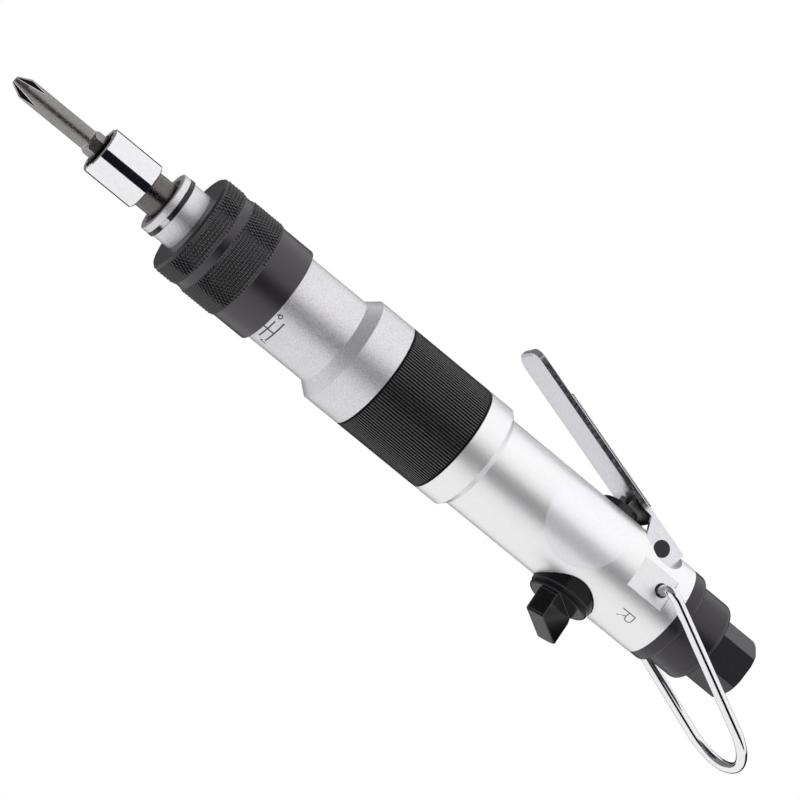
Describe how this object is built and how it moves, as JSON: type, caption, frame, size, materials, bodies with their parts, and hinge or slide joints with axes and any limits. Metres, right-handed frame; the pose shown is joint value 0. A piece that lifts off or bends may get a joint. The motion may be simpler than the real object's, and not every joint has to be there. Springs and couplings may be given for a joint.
{
  "type": "pneumatic screwdriver",
  "caption": "Straight pneumatic screwdriver with a quick-change bit chuck, adjustable clutch collar, ribbed grip, lever throttle, reverse knob and hanging bail.",
  "frame": {"origin": "on the tool's axis, at the mouth of the hexagonal bit socket", "axes": "+X along the tool's axis towards the air inlet, -X towards the bit, +Z towards the lever"},
  "size_m": [0.2804, 0.0436, 0.0606],
  "materials": {
    "chrome": "polished",
    "bit_steel": "brushed",
    "dark_steel": "oiled, dark",
    "satin_aluminium": "blasted and clear anodised",
    "black_anodised": "matt black",
    "grip_black": "matt",
    "black_steel": "black oxide",
    "knob_plastic": "satin",
    "machined_steel": "machined",
    "bronze": "sintered bronze",
    "fibre": "laminate",
    "seal_rubber": "matt"
  },
  "bodies": {
    "housing": {"nose_bush": "bronze", "snap_ring": "black_steel", "ring_gear": "machined_steel", "carrier_bearing": "machined_steel", "front_housing": "satin_aluminium", "front_end_plate": "machined_steel", "front_bearing": "machined_steel", "cylinder_liner": "machined_steel", "rear_end_plate": "machined_steel", "rear_bearing": "machined_steel", "grip_sleeve": "grip_black", "rear_housing": "satin_aluminium", "throttle_bush": "black_steel", "throttle_spring": "machined_steel", "lever_pin": "black_steel", "exhaust_cap": "black_anodised", "inlet_bushing": "black_anodised", "inlet_screen": "bronze", "inlet_seal": "seal_rubber"},
    "spindle": {"spindle": "dark_steel", "bit": "bit_steel", "chuck_ball": "machined_steel", "chuck_retainer": "dark_steel", "chuck_spring": "machined_steel", "clutch_spring": "machined_steel", "clutch_jaw": "dark_steel", "clutch_balls": "machined_steel", "planet_carrier": "dark_steel", "planet_pins": "machined_steel"},
    "sleeve": {"chuck_sleeve": "chrome"},
    "pusher": {"push_pins": "machined_steel", "thrust_washer": "machined_steel"},
    "collar": {"adjust_collar": "black_anodised"},
    "planet_1": {"planet_gear_1": "machined_steel"},
    "planet_2": {"planet_gear_2": "machined_steel"},
    "planet_3": {"planet_gear_3": "machined_steel"},
    "rotor": {"rotor": "machined_steel", "vanes": "fibre"},
    "lever": {"lever": "chrome"},
    "stem": {"throttle_stem": "machined_steel", "throttle_ball": "machined_steel"},
    "knob": {"reverse_knob": "knob_plastic", "reverse_valve": "machined_steel"},
    "bail": {"bail": "chrome"}
  },
  "joints": [
    {"name": "spindle_spin", "type": "hinge", "parent": "housing", "child": "spindle", "pos_m": [0, 0, 0], "axis": [1, 0, 0], "continuous": true},
    {"name": "sleeve_slide", "type": "slide", "parent": "spindle", "child": "sleeve", "axis": [1, 0, 0], "range_m": [0, 0.0035], "stiffness_N_per_m": 900, "springref_m": -0.003, "deforming": ["chuck_spring"]},
    {"name": "collar_slide", "type": "slide", "parent": "housing", "child": "pusher", "axis": [1, 0, 0], "range_m": [0, 0.00385], "deforming": ["clutch_spring"]},
    {"name": "collar_turn", "type": "hinge", "parent": "pusher", "child": "collar", "pos_m": [0.048, 0, 0], "axis": [1, 0, 0], "range_deg": [0, 1110]},
    {"name": "planet_spin_1", "type": "hinge", "parent": "spindle", "child": "planet_1", "pos_m": [0.0916, 0, 0.00675], "axis": [1, 0, 0], "continuous": true},
    {"name": "planet_spin_2", "type": "hinge", "parent": "spindle", "child": "planet_2", "pos_m": [0.0916, -0.00585, -0.00337], "axis": [1, 0, 0], "continuous": true},
    {"name": "planet_spin_3", "type": "hinge", "parent": "spindle", "child": "planet_3", "pos_m": [0.0916, 0.00585, -0.00338], "axis": [1, 0, 0], "continuous": true},
    {"name": "rotor_spin", "type": "hinge", "parent": "housing", "child": "rotor", "pos_m": [0.12, 0, 0], "axis": [1, 0, 0], "continuous": true},
    {"name": "lever_swing", "type": "hinge", "parent": "housing", "child": "lever", "pos_m": [0.1939, 0, 0.0117], "axis": [0, -1, 0], "range_deg": [0, 9], "stiffness_Nm_per_rad": 0.32, "springref_deg": -17.19},
    {"name": "stem_slide", "type": "slide", "parent": "housing", "child": "stem", "axis": [0, 0, -1], "range_m": [0, 0.0023], "deforming": ["throttle_spring"]},
    {"name": "knob_turn", "type": "hinge", "parent": "housing", "child": "knob", "pos_m": [0.1793, 0, -0.0147], "axis": [0, 0, -1], "range_deg": [0, 100]},
    {"name": "bail_swing", "type": "hinge", "parent": "housing", "child": "bail", "pos_m": [0.1984, 0, 0], "axis": [0, -1, 0], "range_deg": [-115.8, 163.2]}
  ],
  "couplings": [
    {"joint": "planet_spin_1", "follows": "rotor_spin", "ratio": -0.62222},
    {"joint": "planet_spin_2", "follows": "rotor_spin", "ratio": -0.62222},
    {"joint": "planet_spin_3", "follows": "rotor_spin", "ratio": -0.62222},
    {"joint": "spindle_spin", "follows": "rotor_spin", "ratio": 0.22222},
    {"joint": "collar_turn", "follows": "collar_slide", "rad_per_m": 5026.5},
    {"joint": "stem_slide", "follows": "lever_swing", "m_per_rad": 0.0144}
  ]
}
